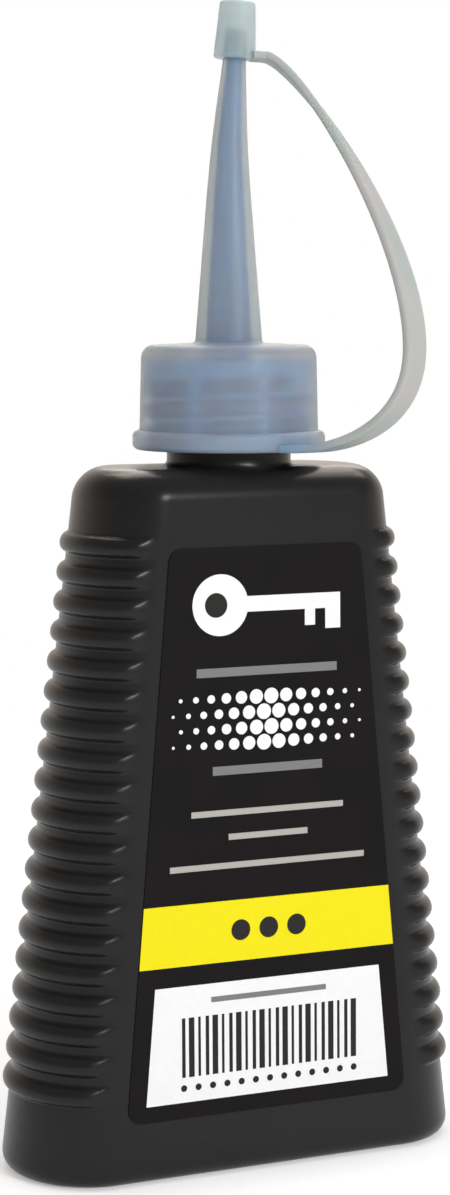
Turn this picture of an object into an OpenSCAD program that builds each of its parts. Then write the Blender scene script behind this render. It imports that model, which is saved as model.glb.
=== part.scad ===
// Graphite lock lubricant bottle: flat tapered squeeze bottle, screw closure with
// a long conical spout, and a tip cap held by a strap.
// Origin at the centre of the base, +Z up, label to the front at -Y, millimetres.

/* [Bottle body] */
// Height of the body, from the base to the flat shoulder
body_h = 104; // [80:1:140]
// Width of the body at the base, without the ribs
base_w = 72.6; // [62:0.2:90]
// Width of the body at the shoulder
shoulder_w = 47; // [40:0.2:58]
// Depth of the body at the base
base_d = 27.2; // [22:0.2:36]
// Depth of the body at the shoulder
shoulder_d = 24.4; // [22:0.2:32]
// Width of the flat front and back faces at the base
base_flat_w = 48.2; // [36:0.2:56]
// Width of the flat front and back faces at the shoulder
shoulder_flat_w = 29.6; // [20:0.2:36]
// Rounding round the base
base_fillet = 3; // [1:0.1:5]
// Rounding round the shoulder
shoulder_fillet = 4.5; // [2:0.1:6]
// Thickness of the bottle's wall
wall = 1.2; // [0.6:0.1:2]
// Least rounding inside the bottle
inner_fillet = 0.8; // [0.4:0.1:1.5]

/* [Grip ribs] */
// Distance between two ribs
rib_pitch = 4.4; // [3.4:0.1:7]
// Height of a rib along the bottle
rib_w = 2.8; // [1.2:0.1:3.2]
// How far a rib stands proud of the side
rib_h = 1.1; // [0.4:0.1:1.8]
// Height of the lowest rib's middle above the base
rib_first_z = 13.8; // [8:0.2:30]
// Smooth height left between the top rib's middle and the shoulder
rib_top_gap = 10.6; // [8:0.2:30]
// Angle from the front face at which a rib starts to rise
rib_start = 12; // [6:1:24]
// Angle over which a rib rises to its full height
rib_fade = 22; // [10:1:30]

/* [Neck] */
// Height of the neck above the shoulder
neck_h = 13.6; // [12:0.1:18]
// Diameter of the neck's waist, under the thread
waist_d = 18.5; // [17:0.1:20]
// Height of the waist
waist_h = 3.4; // [2.5:0.1:5]
// Diameter of the neck at the thread's root
neck_d = 20.4; // [19:0.1:21.6]
// Thickness of the neck's wall at the waist
neck_wall = 1.45; // [0.8:0.05:2.4]
// How far the screw thread stands proud of the neck
thread_h = 1.1; // [0.6:0.05:1.5]
// Bevel round the neck's rim
rim_bevel = 0.6; // [0.2:0.1:1.2]

/* [Sealing wad] */
// Thickness of the wad between the neck's rim and the closure
wad_t = 2; // [1:0.1:3]
// Diameter of the hole that the powder passes
wad_hole_d = 12.6; // [8:0.1:15]
// Gap between the wad's edge and the closure's bore
wad_clear = 0.3; // [0.2:0.05:0.6]

/* [Nozzle closure] */
// Gap between the neck's thread and the closure's bore
thread_clear = 0.3; // [0.2:0.05:0.8]
// Thickness of the skirt at its foot
skirt_wall = 1.7; // [1.2:0.1:2.5]
// Draft of the skirt: how much its radius loses towards the top
skirt_draft = 0.25; // [0:0.05:0.6]
// Gap between the bottle's shoulder and the closure's foot
foot_gap = 2.3; // [1:0.1:4]
// Thickness of the closure's top
closure_top_wall = 2.5; // [1.2:0.1:3.5]
// Rounding round the closure's top
closure_fillet = 2; // [0.8:0.1:3]
// Height of the bead round the closure's foot
bead_h = 2.9; // [2:0.1:4]
// How far the bead stands proud of the skirt
bead_out = 1.05; // [0.5:0.05:2]
// Rounding of the bead's edges
bead_fillet = 1.1; // [0.4:0.1:1.3]

/* [Spout] */
// Diameter of the spout at its foot
spout_base_d = 10; // [8:0.1:13]
// Diameter of the spout at its tip
spout_tip_d = 2.75; // [2.4:0.05:4]
// Length of the spout above the closure
spout_len = 45.4; // [36:0.1:60]
// Diameter of the powder channel at the spout's foot
channel_base_d = 6.2; // [4:0.1:7]
// Diameter of the powder channel at the tip
channel_tip_d = 1.5; // [1:0.05:2]
// Rounding where the spout leaves the closure
spout_fillet = 0.8; // [0.3:0.1:1.5]
// Height above the closure where the strap's pull bends the spout
bend_h = 28; // [20:0.5:34]
// Angle of that bend
tip_lean = 3.5; // [0:0.5:8]

/* [Tip cap] */
// Length of the tip cap
cap_h = 8.4; // [7:0.1:12]
// Diameter of the tip cap at its mouth
cap_mouth_d = 6.2; // [5.2:0.1:8]
// Diameter of the tip cap at its closed end
cap_top_d = 5.3; // [4.6:0.1:7]
// Rounding round the closed end
cap_fillet = 0.5; // [0.2:0.1:1]
// Length of the spout that the tip cap covers
cap_cover = 3.8; // [2.5:0.1:5]
// Radial gap between the tip cap and the spout
cap_clear = 0.08; // [0.04:0.01:0.2]
// Free depth in the tip cap past the spout's tip
cap_spare = 0.6; // [0.3:0.1:1.5]

/* [Tether strap] */
// Width of the strap
strap_w = 5; // [3:0.1:6]
// Thickness of the strap
strap_t = 1.2; // [0.8:0.05:1.8]
// How far the strap's roots stand out of the bead and of the tip cap
root_out = 1.2; // [0.6:0.1:2]
// Gap left at the strap's two ends
strap_gap = 0.02; // [0.01:0.01:0.05]
// Reach of the loop from the spout's axis
loop_reach = 32.5; // [26:0.5:45]
// Height of the loop's widest place above the closure's foot
loop_mid_h = 15.2; // [8:0.2:22]
// Direction of the strap's root on the closure, from +X
root_az = -73; // [-180:1:180]
// Direction of the loop's widest place, from +X
loop_az = -62; // [-180:1:180]
// Direction of the strap's root on the tip cap, from +X
cap_az = -20; // [-180:1:180]

/* [Front label] */
// Thickness of the label
label_t = 0.15; // [0.08:0.01:0.4]
// Thickness of the adhesive under the label
label_glue = 0.02; // [0.01:0.01:0.1]
// Height of the label's lower edge above the base
label_foot = 9.4; // [6:0.1:20]
// Distance from the label's upper edge to the shoulder
label_top_gap = 11.2; // [8:0.1:30]
// Margin between the label and the edge of the flat front face
label_margin = 0.2; // [0.1:0.1:6]
// Rounding of the label's corners
label_corner = 2; // [0.5:0.1:5]

/* [Powder] */
// Air space between the powder's surface and the shoulder
powder_gap = 24; // [14:1:84]
// Rounding of the powder's upper edge
powder_fillet = 1.5; // [0.5:0.1:3]
// Gap between the powder and the wall
powder_clear = 0.2; // [0.1:0.05:0.5]

/* [Hidden] */
$fn = 96;
// Steps in a rounded corner
corner_steps = 5;
// Rings along each half of the strap's loop
strap_steps = 18;
// Overlap of pieces that are fused or cut
eps = 0.5;
// Depth to which the leaning tip is sunk in the straight spout, and how much slimmer it is there
bend_sink = 0.5;
bend_step = 0.08;
// Shares of its span over which the strap keeps the direction of each root and of its widest place
root_run = 0.42;
mid_run_down = 0.77;
mid_run_up = 0.39;
cap_run = 0.17;
// Rounding of the strap's edges, against half its thickness
strap_edge = 0.6;
// Most of a step that its rounding may take up
edge_share = 0.95;
// Facets between a rib's full height and the middle of the bottle's side
side_steps = 3;
// Angles of the corners round one end of the body, from the front face to the side and on to the back
rib_full = rib_start + rib_fade;
side_angles = [for (i = [1 : side_steps - 1]) rib_full + (90 - rib_full) * i / side_steps];
front_angles = concat([0, rib_start, rib_start + rib_fade / 2, rib_full], side_angles);
back_angles = [for (i = [len(front_angles) - 1 : -1 : 0]) 180 - front_angles[i]];
end_angles = concat(front_angles, [90], back_angles);

rim_z = body_h + neck_h;
closure_roof_z = rim_z + wad_t;
closure_top_z = closure_roof_z + closure_top_wall;
closure_foot_z = body_h + foot_gap;
mouth_d = waist_d - 2 * neck_wall;
closure_bore_r = neck_d / 2 + thread_h + thread_clear;
skirt_r = closure_bore_r + skirt_wall;
bead_r = skirt_r + bead_out;
// The bead's rounding, kept within the bead
bead_edge = min(bead_fillet, edge_share * bead_out, edge_share * bead_h / 2);
spout_base_r = spout_base_d / 2;
spout_tip_r = spout_tip_d / 2;
spout_taper = (spout_base_r - spout_tip_r) / spout_len;
bend_r = spout_base_r - spout_taper * bend_h;
channel_taper = (channel_base_d - channel_tip_d) / 2 / spout_len;
channel_bend_r = channel_base_d / 2 - channel_taper * bend_h;
// Heights in the frame of the leaning tip, whose zero is the bend
tip_h = spout_len - bend_h;
tip_taper = (bend_r - bend_step - spout_tip_r) / tip_h;
channel_tip_taper = (channel_bend_r - bend_step - channel_tip_d / 2) / tip_h;
cap_mouth_h = tip_h - cap_cover;
// Distances of the strap's ends from the axes that they leave
root_r = bead_r + root_out;
cap_root_r = cap_mouth_d / 2 + root_out;

function mix(a, b, t) = a + (b - a) * t;
function smooth(t) = let (u = min(1, max(0, t))) u * u * (3 - 2 * u);
function unit(v) = v / norm(v);

// Sizes of the body's section at height z
function half_w(z) = mix(base_w, shoulder_w, z / body_h) / 2;
function half_d(z) = mix(base_d, shoulder_d, z / body_h) / 2;
function half_flat(z) = mix(base_flat_w, shoulder_flat_w, z / body_h) / 2;

// Heights of the ribs' middles
rib_span = body_h - rib_top_gap - rib_first_z;
rib_zs = [for (i = [0 : floor(rib_span / rib_pitch)]) rib_first_z + i * rib_pitch];
// A rib's section is half an ellipse, taken at these shares of its half height
rib_shares = [-1, -0.75, 0, 0.75, 1];
function rib_rise(share) = rib_h * sqrt(1 - share * share);
function rib_mask(angle) = smooth((min(angle, 180 - angle) - rib_start) / rib_fade);

// One section of the body: two half ellipses joined by the flat faces
function section(z, inset, rise) = let (
    flat = half_flat(z),
    end_x = half_w(z) - flat - inset,
    end_y = half_d(z) - inset,
    right = [for (a = end_angles) let (out = rise * rib_mask(a))
        [flat + (end_x + out) * sin(a), -(end_y + out) * cos(a), z]]
) concat(right, [for (i = [len(right) - 1 : -1 : 0]) [-right[i].x, right[i].y, z]]);

// Inset of a rounded edge, at a height h above the edge's tip
function edge_inset(h, r) = h >= r ? 0 : r - sqrt(r * r - (r - h) * (r - h));
function edge_heights(r) = [for (i = [0 : corner_steps]) r * (1 - cos(90 * i / corner_steps))];

// Closed skin over rings of equal point counts, from the lowest to the highest
module loft(rings) {
    n = len(rings[0]);
    last = len(rings) - 1;
    sides = [for (i = [0 : last - 1], j = [0 : n - 1]) let (k = (j + 1) % n)
        each [[i * n + j, (i + 1) * n + j, i * n + k],
              [i * n + k, (i + 1) * n + j, (i + 1) * n + k]]];
    foot = [for (j = [0 : n - 1]) j];
    head = [for (j = [n - 1 : -1 : 0]) last * n + j];
    polyhedron(points = [for (r = rings) each r], faces = concat(sides, [foot, head]));
}

// Body between two heights, drawn in by an inset and rounded at both ends
module body_solid(z0, z1, inset, foot_r, head_r, ribs) {
    foot = [for (h = edge_heights(foot_r)) [z0 + h, inset + edge_inset(h, foot_r), 0]];
    head = [for (i = [corner_steps : -1 : 0]) let (h = edge_heights(head_r)[i])
        [z1 - h, inset + edge_inset(h, head_r), 0]];
    ribbed = [for (z = ribs, s = rib_shares) [z + s * rib_w / 2, inset, rib_rise(s)]];
    loft([for (level = concat(foot, ribbed, head)) section(level[0], level[1], level[2])]);
}

// Points of an arc, from angle a0 to a1
function arc(cx, cy, r, a0, a1) =
    [for (i = [0 : corner_steps]) let (a = mix(a0, a1, i / corner_steps))
        [cx + r * cos(a), cy + r * sin(a)]];

module bottle() color([0.05, 0.05, 0.055])
    difference() {
        union() {
            body_solid(0, body_h, 0, base_fillet, shoulder_fillet, rib_zs);
            translate([0, 0, body_h]) rotate_extrude() polygon([
                [0, -wall / 2], [waist_d / 2, -wall / 2], [waist_d / 2, waist_h],
                [neck_d / 2, waist_h + (neck_d - waist_d) / 2], [neck_d / 2, neck_h - rim_bevel],
                [neck_d / 2 - rim_bevel, neck_h], [0, neck_h]]);
        }
        body_solid(wall, body_h - wall, wall, max(inner_fillet, base_fillet - wall),
                   max(inner_fillet, shoulder_fillet - wall), []);
        translate([0, 0, body_h - wall - eps]) cylinder(d = mouth_d, h = neck_h + wall + 2 * eps);
    }

// Frame of the flat front face: x across, y up the face, z out of it
module front_face() {
    lean = atan((half_d(0) - half_d(body_h)) / body_h);
    translate([0, -half_d(0), 0]) rotate([90 - lean, 0, 0]) children();
}

module front_label() color([0.12, 0.11, 0.11])
    front_face() {
        lean = atan((half_d(0) - half_d(body_h)) / body_h);
        foot = label_foot / cos(lean);
        head = (body_h - label_top_gap) / cos(lean);
        foot_w = half_flat(label_foot) - label_margin;
        head_w = half_flat(body_h - label_top_gap) - label_margin;
        edge = atan((foot_w - head_w) / (head - foot));
        // Corners of the rounding's centres, kept one radius inside every edge
        inset_foot = foot_w - label_corner * (1 + sin(edge)) / cos(edge);
        inset_head = head_w - label_corner * (1 - sin(edge)) / cos(edge);
        right = concat(
            arc(inset_foot, foot + label_corner, label_corner, -90, edge),
            arc(inset_head, head - label_corner, label_corner, edge, 90));
        left = [for (i = [len(right) - 1 : -1 : 0]) [-right[i].x, right[i].y]];
        translate([0, 0, label_glue]) linear_extrude(label_t) polygon(concat(right, left));
    }

module graphite_powder() color([0.2, 0.2, 0.21])
    body_solid(wall + powder_clear, body_h - powder_gap, wall + powder_clear,
               base_fillet, powder_fillet, []);

module sealing_wad() color([0.93, 0.93, 0.9])
    translate([0, 0, rim_z]) difference() {
        cylinder(r = closure_bore_r - wad_clear, h = wad_t);
        translate([0, 0, -eps]) cylinder(d = wad_hole_d, h = wad_t + 2 * eps);
    }

// Places its children in the frame of the spout's leaning tip
module at_tip() {
    translate([0, 0, closure_top_z + bend_h])
        rotate([0, 0, cap_az]) rotate([0, tip_lean, 0]) rotate([0, 0, -cap_az]) children();
}

// Short block on which the strap is rooted, at a radius from its axis
module strap_root(from_r, to_r, az)
    rotate([0, 0, az]) translate([from_r, -strap_w / 2, 0])
        cube([to_r - from_r, strap_w, strap_t]);

// Skirt, bead, top and straight spout, turned from one profile
module closure_turned() {
    top_r = skirt_r - skirt_draft;
    foot_curve = [for (i = [0 : corner_steps]) let (
        a = 90 * i / corner_steps,
        h = spout_fillet * (1 - cos(a))
    ) [spout_base_r - spout_taper * h + spout_fillet * (1 - sin(a)), closure_top_z + h]];
    rotate_extrude() polygon(concat(
        [[closure_bore_r, closure_foot_z]],
        arc(bead_r - bead_edge, closure_foot_z + bead_edge, bead_edge, -90, 0),
        arc(bead_r - bead_edge, closure_foot_z + bead_h - bead_edge, bead_edge, 0, 90),
        [[skirt_r, closure_foot_z + bead_h]],
        arc(top_r - closure_fillet, closure_top_z - closure_fillet, closure_fillet, 0, 90),
        foot_curve,
        [[bend_r, closure_top_z + bend_h], [0, closure_top_z + bend_h],
         [0, closure_roof_z], [closure_bore_r, closure_roof_z]]));
}

// Frustum along +Z that loses taper in radius per millimetre, from base_r at height 0
module tapered(h0, h1, base_r, taper)
    translate([0, 0, h0])
        cylinder(r1 = base_r - taper * h0, r2 = base_r - taper * h1, h = h1 - h0);

module nozzle_closure() color([0.66, 0.76, 0.8])
    difference() {
        union() {
            closure_turned();
            at_tip() tapered(-bend_sink, tip_h, bend_r - bend_step, tip_taper);
            translate([0, 0, closure_foot_z]) strap_root(closure_bore_r + skirt_wall / 2, root_r, root_az);
        }
        translate([0, 0, closure_top_z])
            tapered(-closure_top_wall - eps, bend_h, channel_base_d / 2, channel_taper);
        at_tip() tapered(-bend_sink, tip_h + eps, channel_bend_r - bend_step, channel_tip_taper);
    }

module tip_cap() color([0.68, 0.8, 0.82])
    at_tip() {
        bore_mouth_r = spout_tip_r + tip_taper * cap_cover + cap_clear;
        cap_r = cap_mouth_d / 2;
        top_r = cap_top_d / 2;
        translate([0, 0, cap_mouth_h]) difference() {
            union() {
                rotate_extrude() polygon(concat(
                    [[0, 0], [cap_r, 0]],
                    arc(top_r - cap_fillet, cap_h - cap_fillet, cap_fillet, 0, 90),
                    [[0, cap_h]]));
                strap_root(bore_mouth_r + cap_clear, cap_root_r, cap_az);
            }
            tapered(-eps, cap_cover + cap_spare, bore_mouth_r, tip_taper);
        }
    }

// A point or direction in the leaning tip's frame, turned into the bottle's frame
function lean_turn(v) = let (
    along = [cos(cap_az), sin(cap_az), 0],
    across = [-sin(cap_az), cos(cap_az), 0],
    up = [0, 0, 1],
    out = v * along
) across * (v * across) + along * (out * cos(tip_lean) + v.z * sin(tip_lean))
  + up * (v.z * cos(tip_lean) - out * sin(tip_lean));
function tip_point(v) = [0, 0, closure_top_z + bend_h] + lean_turn(v);
function polar(r, az, z) = [r * cos(az), r * sin(az), z];

function bezier(p, t) = let (u = 1 - t)
    p[0] * u * u * u + p[1] * 3 * t * u * u + p[2] * 3 * t * t * u + p[3] * t * t * t;
function bezier_dir(p, t) = let (u = 1 - t)
    unit((p[1] - p[0]) * u * u + (p[2] - p[1]) * 2 * t * u + (p[3] - p[2]) * t * t);

// The strap's middle line: from the closure out to the widest place, then up to the tip cap
strap_start = polar(root_r + strap_gap, root_az, closure_foot_z + strap_t / 2);
strap_end = tip_point(polar(cap_root_r + strap_gap, cap_az, cap_mouth_h + strap_t / 2));
loop_mid = polar(loop_reach, loop_az, closure_foot_z + loop_mid_h);
lower_half = [strap_start,
              strap_start + polar((loop_reach - root_r) * root_run, root_az, 0),
              loop_mid - [0, 0, loop_mid_h * mid_run_down], loop_mid];
upper_rise = strap_end.z - loop_mid.z;
upper_half = [loop_mid, loop_mid + [0, 0, upper_rise * mid_run_up],
              strap_end + lean_turn(polar((loop_reach - cap_root_r) * cap_run, cap_az, 0)), strap_end];

// A section of the strap: a flat band with rounded edges, across the middle line
function band(centre, dir, az) = let (
    side = unit(polar(1, az + 90, 0) - dir * (dir * polar(1, az + 90, 0))),
    face = cross(dir, side),
    w = strap_w / 2,
    t = strap_t / 2,
    r = t * strap_edge,
    outline = [[w, -t + r], [w, t - r], [w - r, t], [r - w, t],
               [-w, t - r], [-w, r - t], [r - w, -t], [w - r, -t]]
) [for (q = outline) centre + side * q.x + face * q.y];

module tether_strap() color([0.7, 0.76, 0.74]) {
    lower = [for (i = [0 : strap_steps]) let (t = i / strap_steps)
        band(bezier(lower_half, t), bezier_dir(lower_half, t), mix(root_az, loop_az, smooth(t)))];
    upper = [for (i = [1 : strap_steps]) let (t = i / strap_steps)
        band(bezier(upper_half, t), bezier_dir(upper_half, t), mix(loop_az, cap_az, smooth(t)))];
    loft(concat(lower, upper));
}

bottle();
front_label();
graphite_powder();
sealing_wad();
nozzle_closure();
tether_strap();
tip_cap();
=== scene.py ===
"""Looks of a graphite lock lubricant bottle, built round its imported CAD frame."""

import math

import bpy
import numpy as np
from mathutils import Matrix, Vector


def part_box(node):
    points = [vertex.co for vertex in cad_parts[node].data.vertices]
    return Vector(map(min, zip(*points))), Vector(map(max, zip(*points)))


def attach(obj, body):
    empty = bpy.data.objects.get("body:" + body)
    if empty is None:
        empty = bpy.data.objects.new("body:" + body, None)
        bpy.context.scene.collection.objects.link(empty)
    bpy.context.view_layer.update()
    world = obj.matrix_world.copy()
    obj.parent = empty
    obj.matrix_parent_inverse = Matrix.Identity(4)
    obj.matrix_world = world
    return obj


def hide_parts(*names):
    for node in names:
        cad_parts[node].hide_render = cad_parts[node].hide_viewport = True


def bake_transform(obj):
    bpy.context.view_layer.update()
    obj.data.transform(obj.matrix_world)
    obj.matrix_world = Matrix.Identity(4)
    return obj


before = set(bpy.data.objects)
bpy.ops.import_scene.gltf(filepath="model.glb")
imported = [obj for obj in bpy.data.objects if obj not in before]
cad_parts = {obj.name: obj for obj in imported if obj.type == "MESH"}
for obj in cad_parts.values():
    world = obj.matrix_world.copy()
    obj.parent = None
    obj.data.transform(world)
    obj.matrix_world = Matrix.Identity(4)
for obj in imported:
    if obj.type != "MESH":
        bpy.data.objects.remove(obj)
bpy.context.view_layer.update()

# Shapes are worked out in millimetres, and written to their meshes in metres
MM = 0.001


def box_mm(node):
    """Lowest and highest corner of a CAD node, in millimetres."""
    low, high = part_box(node)
    return np.array(low) / MM, np.array(high) / MM


# Body of the bottle; each pair goes from the base to the shoulder
BODY_H = 104.0
BODY_W = (72.6, 47.0)
BODY_D = (27.2, 24.4)
BODY_FLAT = (48.2, 29.6)
BASE_FILLET = 3.0
SHOULDER_FILLET = 4.5
WALL = 1.2
BASE_RIM = 2.6
BASE_RECESS = 0.7

# Grip ribs
RIB_PITCH = 4.4
RIB_W = 2.8
RIB_H = 1.1
RIB_FIRST_Z = 13.8
RIB_TOP_GAP = 10.6
RIB_START = 12.0
RIB_FADE = 22.0
RIB_EASE_AT = 0.92
RIB_FOOT_HOLD = 0.06

# Neck and screw thread
WAIST_R = 9.25
WAIST_H = 3.4
WAIST_FILLET = 0.8
NECK_FOOT_R = WAIST_R + WAIST_FILLET
FOOT_SPARE = 0.05
NECK_R = 10.2
MOUTH_R = 7.8
RIM_BEVEL = 0.6
RIM_Z = box_mm("sealing_wad")[0][2]
THREAD_PITCH = 3.175
THREAD_RISE = 1.0
THREAD_HALF = 0.95
THREAD_FLANK = 0.6
THREAD_FADE = 0.06
MARK_HALF = 1.5
THREAD_Z = 107.45
NECK_TURNS = (0.42, 2.85)
CLOSURE_TURNS = (-0.15, 2.3)
THREAD_GAPS = 7
THREAD_GAP_ANGLE = 269.6
THREAD_GAP_HALF = 2.2
THREAD_GAP_EASE = 3.2

# Nozzle closure
ROOF_Z = box_mm("sealing_wad")[1][2]
FOOT_Z = box_mm("nozzle_closure")[0][2]
BORE_R = 11.6
SKIRT_R = 13.3
SKIRT_DRAFT = 0.25
TOP_WALL = 2.5
TOP_CROWN = 0.25
CLOSURE_FILLET = 2.0
BEAD_H = 2.9
BEAD_R = 14.35
BEAD_EDGE = 1.0
BORE_CHAMFER = 0.4
TOP_Z = ROOF_Z + TOP_WALL

# Spout, with lengths along its axis from the closure's top
SPOUT_R = (5.0, 1.375)
SPOUT_LEN = 45.4
SPOUT_FILLET = 0.5
TIP_EDGE = 0.25
CHANNEL_R = (3.1, 0.75)
CHANNEL_MARK = 0.3
BEND_H = 28.0
BEND_RUN = 7.0
TIP_LEAN = 3.5

# Tip cap, on the same lengths
CAP_MOUTH = SPOUT_LEN - 3.8
CAP_H = 8.4
CAP_R = (3.1, 2.65)
CAP_EDGE = 0.55
CAP_LIP = 0.4
CAP_BORE_R = (1.74, 1.42)
CAP_BORE_H = 4.4
CAP_BORE_RINGS = (1, 0.66, 0.33, 0)

# Tether strap
STRAP_W = 5.0
STRAP_T = 1.2
STRAP_EDGE = 0.42
STRAP_HOLD = 0.1
STRAP_SUNK = 0.6
STRAP_FLARE = 0.3
STRAP_FLARE_RUN = 4.0
# Length from the bead over which the strap's painted blue cast fades out
STRAP_BLUE_CAST_RUN = 12.0
ROOT_OUT = 1.2
LOOP_REACH = 32.5
LOOP_MID_H = 15.2
ROOT_AZ = -73.0
LOOP_AZ = -62.0
CAP_AZ = -20.0
ROOT_RUN = 0.42
MID_RUN_DOWN = 0.77
MID_RUN_UP = 0.39
CAP_RUN = 0.17

# Label on the flat front face
LABEL_OUT = 0.17
LABEL_MARGIN = 0.2
INK_SUNK = 0.01
INK_T = 0.025

# Depth to which red, green and blue light get into milky plastic, in metres
MILK_DEPTH = (0.0066, 0.0033, 0.0015)

# Milky plastic; its low index bends what is behind it only a little
MILK_IOR = 1.12
MILK_FLOW = {"size": 0.006, "detail": 2.0, "stretch": (1, 1, 2.5)}
MILK_ROUGHNESS = (0.45, 0.55)

# Part of a noise's range over which a colour or a roughness goes from low to high
NOISE_REACH = (0.3, 0.7)

# Mesh fineness
END_STEPS = 48
TURN_STEPS = 144
RIB_STEPS = 14
SHOULDER_STEPS = 12
ARC_STEPS = 8
SMALL_ARC_STEPS = 4
STRAP_ARC_STEPS = 3
RIB_EASE_STEPS = 4
SHOULDER_HALVINGS = 30
SPOUT_RINGS = 48
THREAD_STEP = 0.2
STRAP_RINGS = 44
DISC_STEPS = 32
BOW_STEPS = 48
GRAIN_STEPS = 20
DOT_STEPS = 16

# Edges of a mesh over this angle in degrees stay sharp
SHARP_ANGLE = 38.0

X_AXIS = np.array([1.0, 0.0, 0.0])
UP = np.array([0.0, 0.0, 1.0])


# Small mathematics

def mix(pair, share):
    """Value at a share of the way between the two of a pair."""
    return pair[0] + (pair[1] - pair[0]) * share


def smooth(share):
    """Eased step from 0 to 1."""
    share = np.clip(share, 0, 1)
    return share * share * (3 - 2 * share)


def unit(vector):
    """The vector at a length of 1."""
    return vector / np.linalg.norm(vector)


def polar(radius, azimuth, height):
    """Point at a radius and an azimuth in degrees from +X."""
    angle = math.radians(azimuth)
    return np.array([radius * math.cos(angle), radius * math.sin(angle), height])


def arc(centre_r, centre_z, radius, start, end, steps=ARC_STEPS):
    """Points (r, z) of an arc between two angles in degrees."""
    angles = np.radians(np.linspace(start, end, steps + 1))
    return [(centre_r + radius * math.cos(a), centre_z + radius * math.sin(a)) for a in angles]


# Meshes

def skin(rings, loop=False):
    """Vertices and outward faces over rings of equal counts; without loop, both ends are capped."""
    count = len(rings[0])
    faces = []
    last = len(rings) if loop else len(rings) - 1
    for i in range(last):
        here = i * count
        there = ((i + 1) % len(rings)) * count
        for j in range(count):
            k = (j + 1) % count
            faces.append((here + j, here + k, there + k, there + j))
    if not loop:
        faces.append(tuple(range(count - 1, -1, -1)))
        faces.append(tuple(range(last * count, (last + 1) * count)))
    return np.concatenate(rings), faces


def add_mesh(name, vertices, faces, materials):
    """A smooth-shaded object from vertices in millimetres, with its sharp edges kept."""
    mesh = bpy.data.meshes.new(name)
    mesh.from_pydata((vertices * MM).tolist(), [], faces)
    mesh.polygons.foreach_set("use_smooth", [True] * len(mesh.polygons))
    mesh.set_sharp_from_angle(angle=math.radians(SHARP_ANGLE))
    for material in materials:
        mesh.materials.append(material)
    piece = bpy.data.objects.new(name, mesh)
    bpy.context.scene.collection.objects.link(piece)
    return piece


def add_piece(name, vertices, faces, materials, body, replaces=()):
    """A piece of the object that rides on a body."""
    piece = add_mesh(name, vertices, faces, materials)
    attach(piece, body)
    if replaces:
        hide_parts(*replaces)
    return piece


# Shader nodes

def combine(tree, operation, first, second):
    """Socket with the result of an operation on two others."""
    node = tree.nodes.new("ShaderNodeMath")
    node.operation = operation
    tree.links.new(first, node.inputs[0])
    tree.links.new(second, node.inputs[1])
    return node.outputs[0]


def eased_range(tree, share, reach, ends):
    """Socket that eases from one end to the other over a reach of another socket's value."""
    spread = tree.nodes.new("ShaderNodeMapRange")
    spread.interpolation_type = "SMOOTHSTEP"
    for socket, value in zip(("From Min", "From Max", "To Min", "To Max"), (*reach, *ends)):
        spread.inputs[socket].default_value = value
    tree.links.new(share, spread.inputs["Value"])
    return spread.outputs["Result"]


# Materials

class Finish:
    """A Principled material, with short ways to drive its sockets by noise in the object's own frame."""

    def __init__(self, name, **sockets):
        self.material = bpy.data.materials.new(name)
        self.material.use_nodes = True
        self.tree = self.material.node_tree
        self.nodes = self.tree.nodes
        self.links = self.tree.links
        self.shader = self.nodes["Principled BSDF"]
        self.place = self.nodes.new("ShaderNodeTexCoord").outputs["Object"]
        for socket, value in sockets.items():
            self.shader.inputs[socket.replace("_", " ")].default_value = value

    def noise(self, size, detail=3.0, stretch=(1, 1, 1)):
        """Noise whose features are about a size in metres, stretched along the axes."""
        mapping = self.nodes.new("ShaderNodeMapping")
        mapping.inputs["Scale"].default_value = [1 / (size * s) for s in stretch]
        texture = self.nodes.new("ShaderNodeTexNoise")
        texture.inputs["Scale"].default_value = 1.0
        texture.inputs["Detail"].default_value = detail
        self.links.new(self.place, mapping.inputs["Vector"])
        self.links.new(mapping.outputs["Vector"], texture.inputs["Vector"])
        return texture.outputs["Fac"]

    def ramp(self, share, low, high):
        """Socket with a colour between two colours."""
        ramp = self.nodes.new("ShaderNodeValToRGB")
        ramp.color_ramp.interpolation = "EASE"
        for element, position, colour in zip(ramp.color_ramp.elements, NOISE_REACH, (low, high)):
            element.position = position
            element.color = (*colour, 1)
        self.links.new(share, ramp.inputs["Fac"])
        return ramp.outputs["Color"]

    def colour(self, share, low, high):
        """Base colour between two colours."""
        self.links.new(self.ramp(share, low, high), self.shader.inputs["Base Color"])

    def colour_mix(self, share, first, second):
        """Base colour that goes from one socket's colour to another's."""
        blend = self.nodes.new("ShaderNodeMix")
        blend.data_type = "RGBA"
        for socket, source in (("Factor", share), ("A", first), ("B", second)):
            self.links.new(source, blend.inputs[socket])
        self.links.new(blend.outputs["Result"], self.shader.inputs["Base Color"])

    def point_share(self, name):
        """Share that the mesh holds for each of its points."""
        attribute = self.nodes.new("ShaderNodeAttribute")
        attribute.attribute_name = name
        return attribute.outputs["Fac"]

    def roughness(self, share, low, high):
        """Roughness between two values."""
        spread = eased_range(self.tree, share, NOISE_REACH, (low, high))
        self.links.new(spread, self.shader.inputs["Roughness"])

    def bump(self, height, depth):
        """Relief of a depth in metres."""
        relief = self.nodes.new("ShaderNodeBump")
        relief.inputs["Distance"].default_value = depth
        relief.inputs["Strength"].default_value = 1.0
        self.links.new(height, relief.inputs["Height"])
        self.links.new(relief.outputs["Normal"], self.shader.inputs["Normal"])


def black_polyethylene():
    """Blow-moulded black polyethylene: satin, with the mould's fine grain."""
    finish = Finish("black_polyethylene", IOR=1.5, Specular_IOR_Level=0.2)
    cloud = finish.noise(size=0.02)
    finish.colour(cloud, (0.0115, 0.0114, 0.0117), (0.0145, 0.0143, 0.0144))
    finish.roughness(cloud, 0.26, 0.29)
    finish.bump(finish.noise(size=0.0007, detail=2.0), depth=0.000012)
    return finish.material


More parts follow.
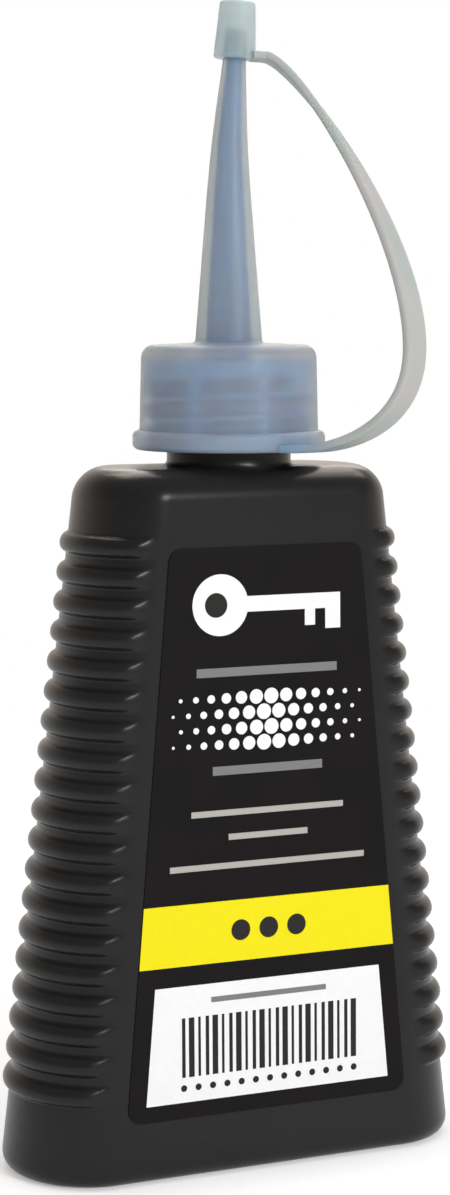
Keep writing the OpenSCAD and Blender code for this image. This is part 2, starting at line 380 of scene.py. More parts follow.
def natural_polyethylene(name, clear, milk, gloss, low, high):
    """Unpigmented soft polyethylene: milky, blue over dark, and clear enough to show what it covers."""
    finish = Finish(
        name,
        IOR=MILK_IOR,
        Transmission_Weight=clear,
        Subsurface_Weight=milk,
        Subsurface_Radius=MILK_DEPTH,
        Subsurface_Scale=1.0,
        Coat_Weight=gloss,
        Coat_IOR=1.5,
        Coat_Roughness=0.4,
    )
    flow = finish.noise(**MILK_FLOW)
    finish.colour(flow, low, high)
    finish.roughness(flow, *MILK_ROUGHNESS)
    return finish.material


def strap_polyethylene():
    """The same plastic in a thin band; where it leaves the bead and lies over the closure, a painted
    blue cast stands in for the closure seen through it.
    """
    finish = Finish("strap_polyethylene", IOR=MILK_IOR, Transmission_Weight=0.2)
    flow = finish.noise(**MILK_FLOW)
    free = finish.ramp(flow, (0.46, 0.51, 0.49), (0.54, 0.52, 0.51))
    # Painted blue cast near the bead, for the closure seen through the band
    root = finish.ramp(flow, (0.25, 0.41, 0.6), (0.29, 0.45, 0.64))
    finish.colour_mix(finish.point_share("root"), free, root)
    finish.roughness(flow, *MILK_ROUGHNESS)
    return finish.material


def blue_cast_inner_wall():
    """Inner walls painted blue, a cast that stands in for the milky plastic's bluish look over the dark
    inside, and darker blue where the mesh marks them.
    """
    finish = Finish("blue_cast_inner_wall")
    wall_noise = finish.noise(size=0.002, detail=4.0)
    # Painted blue cast over the inner walls
    painted_blue = finish.ramp(wall_noise, (0.28, 0.51, 0.98), (0.33, 0.56, 1.0))
    # Darker blue where the mesh marks the walls
    darker_blue = finish.ramp(wall_noise, (0.13, 0.21, 0.52), (0.17, 0.26, 0.58))
    finish.colour_mix(finish.point_share("graphite"), painted_blue, darker_blue)
    finish.roughness(wall_noise, 0.45, 0.6)
    return finish.material


def label_film():
    """Printed black label film under a satin varnish."""
    finish = Finish("label_film", Specular_IOR_Level=0.1)
    cloud = finish.noise(size=0.012)
    finish.colour(cloud, (0.0055, 0.0045, 0.0049), (0.0075, 0.006, 0.0066))
    finish.roughness(cloud, 0.42, 0.5)
    finish.bump(finish.noise(size=0.0005, detail=2.0), depth=0.000004)
    return finish.material


def ink(name, colour):
    """Printed ink with slight mottling."""
    finish = Finish(name, Specular_IOR_Level=0.15)
    mottle = finish.noise(size=0.0012)
    finish.colour(mottle, [0.98 * c for c in colour], colour)
    finish.roughness(mottle, 0.42, 0.5)
    return finish.material


def closed_cell_foam():
    """Pale foam of the sealing wad."""
    finish = Finish("closed_cell_foam", Subsurface_Weight=0.3, Subsurface_Scale=0.001)
    cells = finish.noise(size=0.0005)
    finish.colour(cells, (0.78, 0.79, 0.78), (0.88, 0.89, 0.88))
    finish.roughness(cells, 0.75, 0.9)
    finish.bump(cells, depth=0.00008)
    return finish.material


def graphite():
    """Fine graphite powder: dark, with glinting flakes."""
    finish = Finish("graphite", Metallic=0.6)
    flakes = finish.noise(size=0.0006, detail=4.0)
    finish.colour(flakes, (0.03, 0.031, 0.034), (0.09, 0.092, 0.1))
    finish.roughness(flakes, 0.45, 0.75)
    finish.bump(flakes, depth=0.0002)
    return finish.material


# Bottle

def half_size(pair, z):
    """Half of a size of the body at height z."""
    return mix(pair, z / BODY_H) / 2


END_ANGLES = np.linspace(0, 180, END_STEPS + 1)
RIB_MASK = smooth((np.minimum(END_ANGLES, 180 - END_ANGLES) - RIB_START) / RIB_FADE)


def section(z, inset=0.0, rise=0.0):
    """Ring round the body at height z: two half ellipses joined by the flat faces."""
    angles = np.radians(END_ANGLES)
    out = rise * RIB_MASK - inset
    flat = half_size(BODY_FLAT, z)
    x = flat + (half_size(BODY_W, z) - flat + out) * np.sin(angles)
    y = -(half_size(BODY_D, z) + out) * np.cos(angles)
    right = np.stack([x, y, np.full_like(x, z)], axis=1)
    return np.concatenate([right, right[::-1] * (-1, 1, 1)])


RING_COUNT = 2 * len(END_ANGLES)
RING_ANGLES = np.arange(RING_COUNT) * 360 / RING_COUNT + 180 / RING_COUNT - 90


def thread_share(angles, z, start_z, turns, half=THREAD_HALF):
    """Share of a screw thread's height at angles in degrees and a height, on a right-hand helix."""
    position = (z - start_z) / THREAD_PITCH - angles / 360
    turn = np.round(position)
    away = np.abs(position - turn) * THREAD_PITCH
    along = turn + angles / 360
    ends = smooth((along - turns[0]) / THREAD_FADE) * smooth((turns[1] - along) / THREAD_FADE)
    return smooth((half - away) / THREAD_FLANK) * ends


def gap_share(angles):
    """0 in the upright gaps of the neck's thread, and 1 between them."""
    pitch = 360 / THREAD_GAPS
    away = np.abs((angles - THREAD_GAP_ANGLE + pitch / 2) % pitch - pitch / 2)
    return smooth((away - THREAD_GAP_HALF) / THREAD_GAP_EASE)


def neck_ring(radius, z, threaded=False):
    """Round ring with as many points as the body's sections."""
    angles = np.radians(RING_ANGLES)
    radii = np.full(RING_COUNT, float(radius))
    if threaded:
        turned = RING_ANGLES % 360
        radii += THREAD_RISE * thread_share(turned, z, THREAD_Z, NECK_TURNS) * gap_share(turned)
    return np.stack([radii * np.cos(angles), radii * np.sin(angles), np.full(RING_COUNT, z)], axis=1)


def rib_profile():
    """A rib's section in shares of its half width and height: an ellipse with eased feet."""
    meet = math.sqrt(1 - RIB_EASE_AT ** 2)
    corner = RIB_EASE_AT + meet * meet / RIB_EASE_AT
    foot = 2 * corner - RIB_EASE_AT
    ease = [(foot + RIB_FOOT_HOLD, 0.0)]
    for share in np.linspace(0, 1, RIB_EASE_STEPS + 1)[:-1]:
        away = foot * (1 - share) ** 2 + corner * 2 * share * (1 - share) + RIB_EASE_AT * share ** 2
        ease.append((away, meet * share ** 2))
    reach = math.acos(meet)
    crown = [(math.sin(a), math.cos(a)) for a in np.linspace(-reach, reach, RIB_STEPS + 1)]
    return [(-away, rise) for away, rise in ease] + crown + ease[::-1]


def body_rings():
    """Outer rings of the body, from the recess in the base to the shoulder's fillet."""
    rim_inset = BASE_FILLET + BASE_RIM
    rings = [section(BASE_RECESS, rim_inset + BASE_RECESS), section(0, rim_inset)]
    for r, z in arc(-BASE_FILLET, BASE_FILLET, BASE_FILLET, -90, 0):
        rings.append(section(z, -r))
    top_rib = BODY_H - RIB_TOP_GAP
    for rib_z in np.arange(RIB_FIRST_Z, top_rib + RIB_PITCH / 2, RIB_PITCH):
        rings += [section(rib_z + RIB_W / 2 * away, rise=RIB_H * rise) for away, rise in rib_profile()]
    # The fillet's rings end just outside the neck's foot, which is nearest at the front and back
    meet = half_size(BODY_D, BODY_H) - NECK_FOOT_R - FOOT_SPARE
    turn = math.degrees(math.acos(1 - meet / SHOULDER_FILLET))
    for r, z in arc(-SHOULDER_FILLET, BODY_H - SHOULDER_FILLET, SHOULDER_FILLET, 0, turn):
        rings.append(section(z, -r))
    return rings


def shoulder_height(x, y):
    """Height of the shoulder at points, from how far each lies in from the body's outline."""
    flat, width, depth = [half_size(pair, BODY_H) for pair in (BODY_FLAT, BODY_W, BODY_D)]
    low = np.zeros_like(x)
    high = np.full_like(x, SHOULDER_FILLET)
    for _ in range(SHOULDER_HALVINGS):
        inset = (low + high) / 2
        end = np.maximum(np.abs(x) - flat, 0) / (width - flat - inset)
        inside = end ** 2 + (y / (depth - inset)) ** 2 <= 1
        low = np.where(inside, inset, low)
        high = np.where(inside, high, inset)
    return BODY_H - SHOULDER_FILLET + np.sqrt(SHOULDER_FILLET ** 2 - (SHOULDER_FILLET - low) ** 2)


def shoulder_rings(edge):
    """Rings over the shoulder from the body's last ring to the neck's foot."""
    foot = neck_ring(NECK_FOOT_R, BODY_H)
    rings = []
    for share in np.linspace(0, 1, SHOULDER_STEPS + 1)[1:]:
        ring = mix((edge, foot), share)
        ring[:, 2] = shoulder_height(ring[:, 0], ring[:, 1])
        rings.append(ring)
    return rings


def neck_rings(foot):
    """Outer rings of the neck from its foot to the rim, and its bore back down."""
    waist = []
    for r, z in arc(-WAIST_FILLET, WAIST_FILLET, WAIST_FILLET, -90, 0, SMALL_ARC_STEPS)[1:]:
        ring = neck_ring(WAIST_R - r, BODY_H)
        ring[:, 2] = mix((foot[:, 2], BODY_H + WAIST_FILLET), z / WAIST_FILLET)
        waist.append(ring)
    cone_z = BODY_H + WAIST_H
    root_z = cone_z + NECK_R - WAIST_R
    bevel_z = RIM_Z - RIM_BEVEL
    threaded = [neck_ring(NECK_R, z, True)
                for z in np.linspace(root_z, bevel_z, round((bevel_z - root_z) / THREAD_STEP))]
    bore = [neck_ring(MOUTH_R, z) for z in (RIM_Z, BODY_H - WALL)]
    return [*waist, neck_ring(WAIST_R, cone_z), *threaded, neck_ring(NECK_R - RIM_BEVEL, RIM_Z), *bore]


def inner_rings():
    """Rings of the inside, from under the shoulder to the base."""
    fillet = SHOULDER_FILLET - WALL
    top = [section(z + BODY_H - WALL, WALL + fillet - r)
           for r, z in arc(0, -fillet, fillet, 90, 0, SMALL_ARC_STEPS)]
    fillet = BASE_FILLET - WALL
    foot = [section(z + WALL, WALL + fillet - r)
            for r, z in arc(0, fillet, fillet, 0, -90, SMALL_ARC_STEPS)]
    return top + foot


def build_bottle(material):
    body = body_rings()
    shoulder = shoulder_rings(body[-1])
    vertices, faces = skin(body + shoulder + neck_rings(shoulder[-1]) + inner_rings())
    add_piece("bottle_shell", vertices, faces, [material],
              body="bottle", replaces=["bottle"])


# Spout's axis, and round rings across it

LEAN_WAY = polar(1, CAP_AZ, 0)
LEAN_UP = LEAN_WAY * math.sin(math.radians(TIP_LEAN)) + UP * math.cos(math.radians(TIP_LEAN))
BEND_POINT = UP * (TOP_Z + BEND_H)


def spout_axis(length):
    """Point and direction of the spout's axis, which eases round its bend."""
    share = np.clip((length - BEND_H + BEND_RUN) / (2 * BEND_RUN), 0, 1)
    if share == 0:
        return UP * (TOP_Z + length), UP
    if share == 1:
        return BEND_POINT + LEAN_UP * (length - BEND_H), LEAN_UP
    start = BEND_POINT - UP * BEND_RUN
    end = BEND_POINT + LEAN_UP * BEND_RUN
    point = start * (1 - share) ** 2 + BEND_POINT * 2 * share * (1 - share) + end * share ** 2
    return point, unit(mix((UP, LEAN_UP), share))


TURN_ANGLES = np.arange(TURN_STEPS) * 360 / TURN_STEPS


def round_ring(centre, direction, radius):
    """Round ring across a direction."""
    across = unit(X_AXIS - direction * (direction @ X_AXIS))
    along = np.cross(direction, across)
    angles = np.radians(TURN_ANGLES)[:, None]
    return centre + np.reshape(radius, (-1, 1)) * (np.cos(angles) * across + np.sin(angles) * along)


def flat_ring(radius, z):
    """Level ring round the neck's axis."""
    return round_ring(UP * z, UP, radius)


def spout_ring(radius, length):
    """Ring across the spout's axis at a length along it."""
    point, direction = spout_axis(length)
    return round_ring(point, direction, radius)


def spout_radius(length):
    """Outer radius of the spout at a length along it."""
    return mix(SPOUT_R, length / SPOUT_LEN)


# Nozzle closure

def closure_outside():
    """Rings from the foot of the skirt, over the bead and the top, to the tip of the spout."""
    skirt_top = SKIRT_R - SKIRT_DRAFT
    crown_z = TOP_Z - TOP_CROWN
    profile = [(BORE_R + BORE_CHAMFER, FOOT_Z)]
    profile += arc(BEAD_R - BEAD_EDGE, FOOT_Z + BEAD_EDGE, BEAD_EDGE, -90, 0)
    profile += arc(BEAD_R - BEAD_EDGE, FOOT_Z + BEAD_H - BEAD_EDGE, BEAD_EDGE, 0, 90)
    profile += [(SKIRT_R, FOOT_Z + BEAD_H)]
    profile += arc(skirt_top - CLOSURE_FILLET, crown_z - CLOSURE_FILLET, CLOSURE_FILLET, 0, 90)
    rings = [flat_ring(r, z) for r, z in profile]
    for r, z in arc(SPOUT_FILLET, SPOUT_FILLET, SPOUT_FILLET, -90, -180):
        rings.append(flat_ring(spout_radius(z) + r, TOP_Z + z))
    for length in np.linspace(SPOUT_FILLET, SPOUT_LEN - TIP_EDGE, SPOUT_RINGS)[1:]:
        rings.append(spout_ring(spout_radius(length), length))
    for r, z in arc(-TIP_EDGE, -TIP_EDGE, TIP_EDGE, 0, 90, SMALL_ARC_STEPS)[1:]:
        rings.append(spout_ring(SPOUT_R[1] + r, SPOUT_LEN + z))
    return rings


def closure_inside():
    """Rings from the tip down the powder channel, under the top and down the threaded bore."""
    rings = []
    for length in np.linspace(SPOUT_LEN, -TOP_WALL, SPOUT_RINGS):
        rings.append(spout_ring(mix(CHANNEL_R, length / SPOUT_LEN), length))
    foot = FOOT_Z + BORE_CHAMFER
    for z in np.linspace(ROOF_Z, foot, round((ROOF_Z - foot) / THREAD_STEP)):
        thread = thread_share(TURN_ANGLES, z, THREAD_Z + THREAD_PITCH / 2, CLOSURE_TURNS)
        rings.append(flat_ring(BORE_R - THREAD_RISE * thread, z))
    return rings


def wall_marks(vertices, first):
    """Share of darkening on the points of the inside, which start at an index."""
    marks = np.zeros(len(vertices))
    channel_end = first + SPOUT_RINGS * TURN_STEPS
    # The powder channel is a little darker all along
    marks[first:channel_end] = CHANNEL_MARK
    # Darker along the neck's thread, where it lies against the bore
    x, y, z = vertices[channel_end:].T
    angles = np.degrees(np.arctan2(y, x)) % 360
    marks[channel_end:] = thread_share(angles, z, THREAD_Z, NECK_TURNS, MARK_HALF) * gap_share(angles)
    return marks


def build_closure(material, inner_material):
    outside = closure_outside()
    vertices, faces = skin(outside + closure_inside(), loop=True)
    piece = add_piece("nozzle_moulding", vertices, faces, [material, inner_material],
                      body="nozzle_closure", replaces=["nozzle_closure"])
    first = len(outside) * TURN_STEPS
    for polygon in piece.data.polygons[first:-TURN_STEPS]:
        polygon.material_index = 1
    # Share of the darker marks at each point
    mark_share = piece.data.attributes.new("graphite", "FLOAT", "POINT")
    mark_share.data.foreach_set("value", wall_marks(vertices, first))


# Tip cap

def build_tip_cap(material):
    bore = [spout_ring(mix(CAP_BORE_R, share), CAP_MOUTH + share * CAP_BORE_H)
            for share in CAP_BORE_RINGS]
    profile = arc(CAP_R[0] - CAP_LIP, CAP_LIP, CAP_LIP, -90, 0)
    profile += arc(CAP_R[1] - CAP_EDGE, CAP_H - CAP_EDGE, CAP_EDGE, 0, 90)
    outside = [spout_ring(r, CAP_MOUTH + z) for r, z in profile]
    vertices, faces = skin(bore + outside)
    add_piece("tip_cap_moulding", vertices, faces, [material],
              body="tip_cap", replaces=["tip_cap"])


# Tether strap

def lean_turn(vector):
    """A direction in the leaning tip's frame, in the bottle's frame."""
    side = np.cross(UP, LEAN_WAY)
    forward = np.cross(side, LEAN_UP)
    return side * (vector @ side) + forward * (vector @ LEAN_WAY) + LEAN_UP * vector[2]


def bezier(points, share):
    """Point and direction of a cubic curve."""
    rest = 1 - share
    point = (points[0] * rest ** 3 + points[1] * 3 * share * rest ** 2
             + points[2] * 3 * share ** 2 * rest + points[3] * share ** 3)
    way = ((points[1] - points[0]) * rest ** 2 + (points[2] - points[1]) * 2 * share * rest
           + (points[3] - points[2]) * share ** 2)
    return point, unit(way)


def strap_path():
    """Points, directions and band azimuths along the strap, from in the bead to in the tip cap."""
    root_r = BEAD_R + ROOT_OUT
    cap_root_r = CAP_R[0] + ROOT_OUT
    start = polar(root_r, ROOT_AZ, FOOT_Z + STRAP_T / 2)
    cap_mid = CAP_MOUTH - BEND_H + STRAP_T / 2
    end = BEND_POINT + lean_turn(polar(cap_root_r, CAP_AZ, cap_mid))
    middle = polar(LOOP_REACH, LOOP_AZ, FOOT_Z + LOOP_MID_H)
    lower = [start, start + polar((LOOP_REACH - root_r) * ROOT_RUN, ROOT_AZ, 0),
             middle - UP * LOOP_MID_H * MID_RUN_DOWN, middle]
    upper = [middle, middle + UP * (end[2] - middle[2]) * MID_RUN_UP,
             end + lean_turn(polar((LOOP_REACH - cap_root_r) * CAP_RUN, CAP_AZ, 0)), end]
    inward = unit(lower[0] - lower[1])
    path = [(start + inward * (ROOT_OUT + STRAP_SUNK), -inward, ROOT_AZ)]
    for share in np.linspace(0, 1, STRAP_RINGS):
        path.append((*bezier(lower, share), mix((ROOT_AZ, LOOP_AZ), smooth(share))))
    for share in np.linspace(0, 1, STRAP_RINGS)[1:]:
        path.append((*bezier(upper, share), mix((LOOP_AZ, CAP_AZ), smooth(share))))
    outward = unit(upper[3] - upper[2])
    path.append((end + outward * (ROOT_OUT + STRAP_SUNK), outward, CAP_AZ))
    return path


def band_outline(half_w):
    """Outline of the strap's section: a flat band with rounded edges."""
    half_t = STRAP_T / 2
    edge_u = half_w - STRAP_EDGE
    edge_v = half_t - STRAP_EDGE
    # A point just inside each end of a flat keeps the flat's shading flat
    held_u = edge_u - STRAP_HOLD
    right = [(held_u, -half_t), *arc(edge_u, -edge_v, STRAP_EDGE, -90, 0, STRAP_ARC_STEPS),
             *arc(edge_u, edge_v, STRAP_EDGE, 0, 90, STRAP_ARC_STEPS), (held_u, half_t)]
    return right + [(-u, -v) for u, v in right]


def build_strap(material):
    path = strap_path()
    rings = []
    root_shares = []
    for point, way, azimuth in path:
        tangent = polar(1, azimuth + 90, 0)
        side = unit(tangent - way * (way @ tangent))
        face = np.cross(way, side)
        from_root = np.linalg.norm(point - path[0][0])
        nearest = min(from_root, np.linalg.norm(point - path[-1][0]))
        flare = 1 + STRAP_FLARE * smooth(1 - nearest / STRAP_FLARE_RUN)
        outline = band_outline(flare * STRAP_W / 2)
        rings.append(np.array([point + side * u + face * v for u, v in outline]))
        # Painted blue cast, strongest at the bead and gone after its run
        root_shares.append(1 - smooth(from_root / STRAP_BLUE_CAST_RUN))
    vertices, faces = skin(rings)
    strap = add_mesh("tether_strap_band", vertices, faces, [material])
    # Share of the painted blue cast at each point
    root_share = strap.data.attributes.new("root", "FLOAT", "POINT")
    root_share.data.foreach_set("value", np.repeat(root_shares, len(rings[0])))
    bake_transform(strap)
    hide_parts("tether_strap")


# Print on the label

FACE_LEAN = math.atan((BODY_D[0] - BODY_D[1]) / 2 / BODY_H)
FACE_OUT = np.array([0.0, -math.cos(FACE_LEAN), math.sin(FACE_LEAN)])


def label_half(z):
    """Half the label's width at height z."""
    return half_size(BODY_FLAT, z) - LABEL_MARGIN


def face_point(x, z, out):
    """Point on the front face, or a distance out of it."""
    return np.array([x, -half_size(BODY_D, z), z]) + FACE_OUT * out


def bar(x, z, width, height):
    """Outline of an upright rectangle round a middle point."""
    w, h = width / 2, height / 2
    return [(x - w, z - h), (x + w, z - h), (x + w, z + h), (x - w, z + h)]


def disc(x, z, radius, steps=DISC_STEPS):
    """Outline of a disc round a middle point."""
    angles = np.arange(steps) * 2 * math.pi / steps
    return [(x + radius * math.cos(a), z + radius * math.sin(a)) for a in angles]


def panel(low, high, border):
    """Outline across the label between two heights, a border in from its edges."""
    return [(border - label_half(low), low), (label_half(low) - border, low),
            (label_half(high) - border, high), (border - label_half(high), high)]


def add_print(name, outlines, material, layer=0):
    """Thin ink over the label, one prism for each outline."""
    low = LABEL_OUT - INK_SUNK + layer * INK_T
    high = LABEL_OUT + (layer + 1) * INK_T
    vertices = []
    faces = []
    for outline in outlines:
        count = len(outline)
        first = len(vertices)
        vertices += [face_point(x, z, low) for x, z in outline]
        vertices += [face_point(x, z, high) for x, z in outline]
        faces.append(tuple(first + i for i in reversed(range(count))))
        faces.append(tuple(first + count + i for i in range(count)))
        for i in range(count):
            k = (i + 1) % count
            faces.append((first + i, first + k, first + count + k, first + count + i))
    add_piece(name, np.array(vertices), faces, [material], body="bottle")


# Key; each tooth is its start, its end and its drop
KEY_X = -7.6
KEY_Z = 84.4
KEY_BOW_R = 4.5
KEY_EYE_OFF = 0.7
KEY_EYE_R = 1.8
KEY_SHAFT_HALF = 1.15
KEY_END_X = 12.1
KEY_TEETH = ((6.2, 7.9, 2.4), (9.6, KEY_END_X, 3.0))

# Grains
GRAIN_Z = 67.4
GRAIN_R = 1.2
GRAIN_ROWS = 4
GRAIN_COLUMNS = range(-6, 7)
GRAIN_PITCH = 2.45
GRAIN_ROW_H = 2.25
GRAIN_FADE = 19

# Rules; each is its height on the label and its length
GREY_RULES = ((74.6, 23), (60.2, 18))
GREY_RULE_T = 1.3
CREAM_RULES = ((54.0, 25), (50.4, 13), (46.2, 32))
CREAM_RULE_T = 0.9

# Yellow band
BAND_Z = (31.95, 41.0)
BAND_BORDER = 0.05
BAND_DOT_Z = 36.5
BAND_DOT_R = 1.55
BAND_DOT_PITCH = 4.6

# White panel
PANEL_Z = (11.8, 29.0)
PANEL_BORDER = 2.8
PANEL_LEFT = -14.0
PANEL_RULE = (26.6, 19)
PANEL_RULE_T = 0.8
STRIPE_COUNT = 23
STRIPE_PITCH = 1.28
STRIPE_WIDTHS = (0.55, 0.9, 0.4)
STRIPE_H = 8.8
STRIPE_Z = 19.9
DOT_COUNT = 13
DOT_PITCH = 2.35
DOT_R = 0.5
DOT_Z = 13.9


def key_outline():
    """Plain key pictogram: a round bow, a shaft and two teeth."""
    mouth = math.degrees(math.asin(KEY_SHAFT_HALF / KEY_BOW_R))
    low = KEY_Z - KEY_SHAFT_HALF
    teeth = []
    for start, end, drop in KEY_TEETH:
        teeth += [(start, low), (start, low - drop), (end, low - drop), (end, low)]
    bow = arc(KEY_X, KEY_Z, KEY_BOW_R, mouth, 360 - mouth, BOW_STEPS)
    # The last tooth runs straight up into the shaft's end
    return bow + teeth[:-1] + [(KEY_END_X, KEY_Z + KEY_SHAFT_HALF)]


def grain_outlines():
    """Rows of powder grains that get finer away from the middle."""
    grains = []
    for row in range(GRAIN_ROWS):
        z = GRAIN_Z + (row - (GRAIN_ROWS - 1) / 2) * GRAIN_ROW_H
        for column in GRAIN_COLUMNS:
            # Rows are staggered by half a pitch, a quarter to each side of the middle
            x = (column + (row % 2) / 2 - 0.25) * GRAIN_PITCH
            grains.append(disc(x, z, GRAIN_R * (1 - abs(x) / GRAIN_FADE), GRAIN_STEPS))
    return grains


def rules(places, thickness):
    """Outlines of level rules in the middle of the label."""
    return [bar(0, z, length, thickness) for z, length in places]


def panel_outlines():
    """Stripes of a few widths in turn, and a row of dots under them."""
    stripes = []
    for i in range(STRIPE_COUNT):
        width = STRIPE_WIDTHS[i % len(STRIPE_WIDTHS)]
        stripes.append(bar(PANEL_LEFT + STRIPE_PITCH * i, STRIPE_Z, width, STRIPE_H))
    dots = [disc(PANEL_LEFT + DOT_PITCH * i, DOT_Z, DOT_R, DOT_STEPS) for i in range(DOT_COUNT)]
    return stripes + dots


def build_print():
    white = ink("white_ink", (0.86, 0.86, 0.86))
    grey = ink("grey_ink", (0.2, 0.2, 0.2))
    cream = ink("cream_ink", (0.42, 0.41, 0.38))
    yellow = ink("yellow_ink", (0.85, 0.74, 0.005))
    dark = ink("dark_ink", (0.02, 0.019, 0.018))

    add_print("label_white_print", [key_outline()] + grain_outlines(), white)
    add_print("label_key_eye", [disc(KEY_X - KEY_EYE_OFF, KEY_Z, KEY_EYE_R)], dark, 1)
    add_print("label_grey_rules", rules(GREY_RULES, GREY_RULE_T), grey)
    add_print("label_cream_rules", rules(CREAM_RULES, CREAM_RULE_T), cream)
    add_print("label_yellow_band", [panel(*BAND_Z, BAND_BORDER)], yellow)
    band_dots = [disc(x, BAND_DOT_Z, BAND_DOT_R) for x in (-BAND_DOT_PITCH, 0, BAND_DOT_PITCH)]
    add_print("label_yellow_dots", band_dots, dark, 1)
    add_print("label_white_panel", [panel(*PANEL_Z, PANEL_BORDER)], white)
    add_print("label_stripes", panel_outlines(), dark, 1)
    add_print("label_panel_rule", rules([PANEL_RULE], PANEL_RULE_T), grey, 1)


# Stage, light and camera, in metres and degrees

FLOOR_SIZE = 6.0
FLOOR_COLOUR = 0.9
FLOOR_LIFT = 0.32
SHADOW_REACH = (0.1, 0.4)
AMBIENT = 0.5
CEILING = 0.25
BACKDROP_TINT = (1.0, 0.91, 0.82)
BACKDROP_TOP = (-14, 25)
SWEEP_LEAN = 25
SWEEP_FRONT = -116
LIGHT_AIM = (0, 0, 0.085)
BOX_COLOUR = (1.0, 0.9, 0.82)
LEFT_RIM_COLOUR = (1.0, 0.72, 0.5)
RIGHT_RIM_COLOUR = (0.86, 0.92, 1.0)
CAMERA_PLACE = (-0.1920, -0.3874, 0.1267)
CAMERA_HEADING = -26.29
CAMERA_PITCH = -5.63
FOCAL_PX = 2900
IMAGE_H_PX = 1195
SENSOR = 36.0
CLIP_START = 0.01


def seen_directly(tree):
    """Socket that is 1 for camera, glossy and transmission rays, which all meet the pale ground."""
    path = tree.nodes.new("ShaderNodeLightPath")
    seen = combine(tree, "MAXIMUM", path.outputs["Is Camera Ray"], path.outputs["Is Glossy Ray"])
    return combine(tree, "MAXIMUM", seen, path.outputs["Is Transmission Ray"])


def build_world():
    """Studio with a white sweep round the back, a dimmer room in front and above, and even light."""
    world = bpy.data.worlds.new("studio")
    world.use_nodes = True
    tree = world.node_tree
    background = tree.nodes["Background"]
    tint = tree.nodes.new("ShaderNodeMix")
    tint.data_type = "RGBA"
    tint.inputs["A"].default_value = (1, 1, 1, 1)
    tint.inputs["B"].default_value = (*BACKDROP_TINT, 1)
    path = tree.nodes.new("ShaderNodeLightPath")
    tree.links.new(path.outputs["Is Glossy Ray"], tint.inputs["Factor"])
    tree.links.new(tint.outputs["Result"], background.inputs["Color"])
    # Height over the leaning edge of the sweep, as the sine of an angle
    lean = math.radians(SWEEP_LEAN)
    place = tree.nodes.new("ShaderNodeTexCoord")
    height = tree.nodes.new("ShaderNodeVectorMath")
    height.operation = "DOT_PRODUCT"
    height.inputs[1].default_value = polar(math.sin(lean), SWEEP_FRONT, math.cos(lean))
    tree.links.new(place.outputs["Generated"], height.inputs[0])
    edge = [math.sin(math.radians(angle)) for angle in BACKDROP_TOP]
    dome = eased_range(tree, height.outputs["Value"], edge, (1.0, CEILING))
    level = tree.nodes.new("ShaderNodeMapRange")
    level.inputs["To Min"].default_value = AMBIENT
    tree.links.new(seen_directly(tree), level.inputs["Value"])
    tree.links.new(dome, level.inputs["To Max"])
    # The camera meets plain white all round
    strength = combine(tree, "MAXIMUM", level.outputs["Result"], path.outputs["Is Camera Ray"])
    tree.links.new(strength, background.inputs["Strength"])
    bpy.context.scene.world = world


def floor_material():
    """White floor that takes the shadow near the object and turns plain white further out."""
    material = bpy.data.materials.new("floor")
    material.use_nodes = True
    tree = material.node_tree
    tree.nodes.clear()
    seen = seen_directly(tree)
    place = tree.nodes.new("ShaderNodeTexCoord")
    distance = tree.nodes.new("ShaderNodeVectorMath")
    distance.operation = "LENGTH"
    tree.links.new(place.outputs["Object"], distance.inputs[0])
    fade = eased_range(tree, distance.outputs["Value"], SHADOW_REACH, (0, 1))
    surface = tree.nodes.new("ShaderNodeBsdfDiffuse")
    surface.inputs["Color"].default_value = (FLOOR_COLOUR, FLOOR_COLOUR, FLOOR_COLOUR, 1)
    lift = tree.nodes.new("ShaderNodeMath")
    lift.operation = "MULTIPLY"
    lift.inputs[0].default_value = FLOOR_LIFT
    tree.links.new(seen, lift.inputs[1])
    glow = tree.nodes.new("ShaderNodeEmission")
    tree.links.new(lift.outputs[0], glow.inputs["Strength"])
    lit = tree.nodes.new("ShaderNodeAddShader")
    tree.links.new(surface.outputs[0], lit.inputs[0])
    tree.links.new(glow.outputs[0], lit.inputs[1])
    white = tree.nodes.new("ShaderNodeEmission")
    blend = tree.nodes.new("ShaderNodeMixShader")
    tree.links.new(combine(tree, "MULTIPLY", fade, seen), blend.inputs["Fac"])
    tree.links.new(lit.outputs[0], blend.inputs[1])
    tree.links.new(white.outputs[0], blend.inputs[2])
    output = tree.nodes.new("ShaderNodeOutputMaterial")
    tree.links.new(blend.outputs[0], output.inputs["Surface"])
    return material


def build_floor():
    half = FLOOR_SIZE / 2 / MM
    corners = np.array([(-half, -half, 0), (half, -half, 0), (half, half, 0), (-half, half, 0)])
    floor = add_mesh("floor", corners, [(0, 1, 2, 3)], [floor_material()])


def add_light(name, azimuth, elevation, distance, size, power, colour=(1, 1, 1)):
    """Soft rectangular light aimed at the middle of the object; azimuth 0 is in front, at -Y."""
    light = bpy.data.lights.new(name, "AREA")
    light.shape = "RECTANGLE"
    light.size, light.size_y = size
    light.energy = power
    light.color = colour
    lamp = bpy.data.objects.new(name, light)
    bpy.context.scene.collection.objects.link(lamp)
    a, e = math.radians(azimuth), math.radians(elevation)
    away = Vector((math.sin(a) * math.cos(e), -math.cos(a) * math.cos(e), math.sin(e)))
    lamp.location = Vector(LIGHT_AIM) + away * distance
    lamp.rotation_euler = away.to_track_quat("Z", "Y").to_euler()
    return lamp


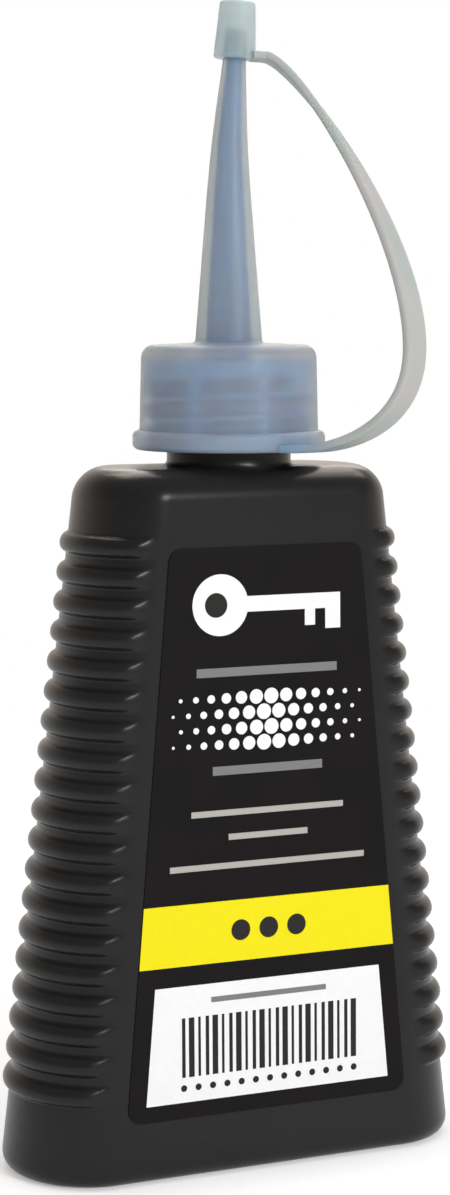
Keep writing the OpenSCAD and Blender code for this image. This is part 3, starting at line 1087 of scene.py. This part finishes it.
def build_lights():
    front_fill = add_light("front_fill", azimuth=10, elevation=12, distance=1.2,
                           size=(0.9, 0.9), power=1.7)
    top = add_light("top", azimuth=0, elevation=88, distance=1.1, size=(1.0, 1.0), power=3.6)
    add_light("front_lamp", azimuth=10, elevation=18, distance=1.0, size=(0.25, 0.07), power=4.0)
    back_box = add_light("back_box", azimuth=150, elevation=32, distance=1.0,
                         size=(0.5, 0.5), power=2.4, colour=BOX_COLOUR)
    over_box = add_light("over_box", azimuth=140, elevation=60, distance=1.0,
                         size=(1.25, 0.6), power=13.0, colour=BOX_COLOUR)
    left_rim = add_light("left_rim", azimuth=-130, elevation=12, distance=0.8,
                         size=(0.5, 0.8), power=1.0, colour=LEFT_RIM_COLOUR)
    right_rim = add_light("right_rim", azimuth=105, elevation=12, distance=0.8,
                          size=(0.4, 0.8), power=0.8, colour=RIGHT_RIM_COLOUR)
    # The wide lights show in no reflection, and the boxes only as reflections on the shoulder
    for wide in (front_fill, top, left_rim, right_rim):
        wide.visible_glossy = False
    for box in (back_box, over_box):
        box.visible_diffuse = False
        box.visible_transmission = False


def build_camera():
    camera = bpy.data.cameras.new("camera")
    camera.sensor_fit = "AUTO"
    camera.sensor_width = SENSOR
    camera.lens = FOCAL_PX / IMAGE_H_PX * SENSOR
    camera.clip_start = CLIP_START
    eye = bpy.data.objects.new("camera", camera)
    bpy.context.scene.collection.objects.link(eye)
    eye.location = CAMERA_PLACE
    eye.rotation_euler = (math.radians(90 + CAMERA_PITCH), 0, math.radians(CAMERA_HEADING))
    bpy.context.scene.camera = eye


def paint_node(node, material):
    """Gives a CAD node that stays in view its finished material."""
    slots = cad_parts[node].data.materials
    slots.clear()
    slots.append(material)


build_bottle(black_polyethylene())
closure_plastic = natural_polyethylene("closure_polyethylene", clear=0.65, milk=1.0, gloss=0.4,
                                       low=(0.47, 0.52, 0.54), high=(0.52, 0.57, 0.59))
cap_plastic = natural_polyethylene("cap_polyethylene", clear=0.55, milk=0.7, gloss=0.3,
                                   low=(0.5, 0.61, 0.65), high=(0.55, 0.66, 0.7))
build_closure(closure_plastic, blue_cast_inner_wall())
build_tip_cap(cap_plastic)
build_strap(strap_polyethylene())
paint_node("front_label", label_film())
paint_node("sealing_wad", closed_cell_foam())
paint_node("graphite_powder", graphite())
build_print()
build_world()
build_floor()
build_lights()
build_camera()
bpy.context.scene.view_settings.view_transform = "Standard"
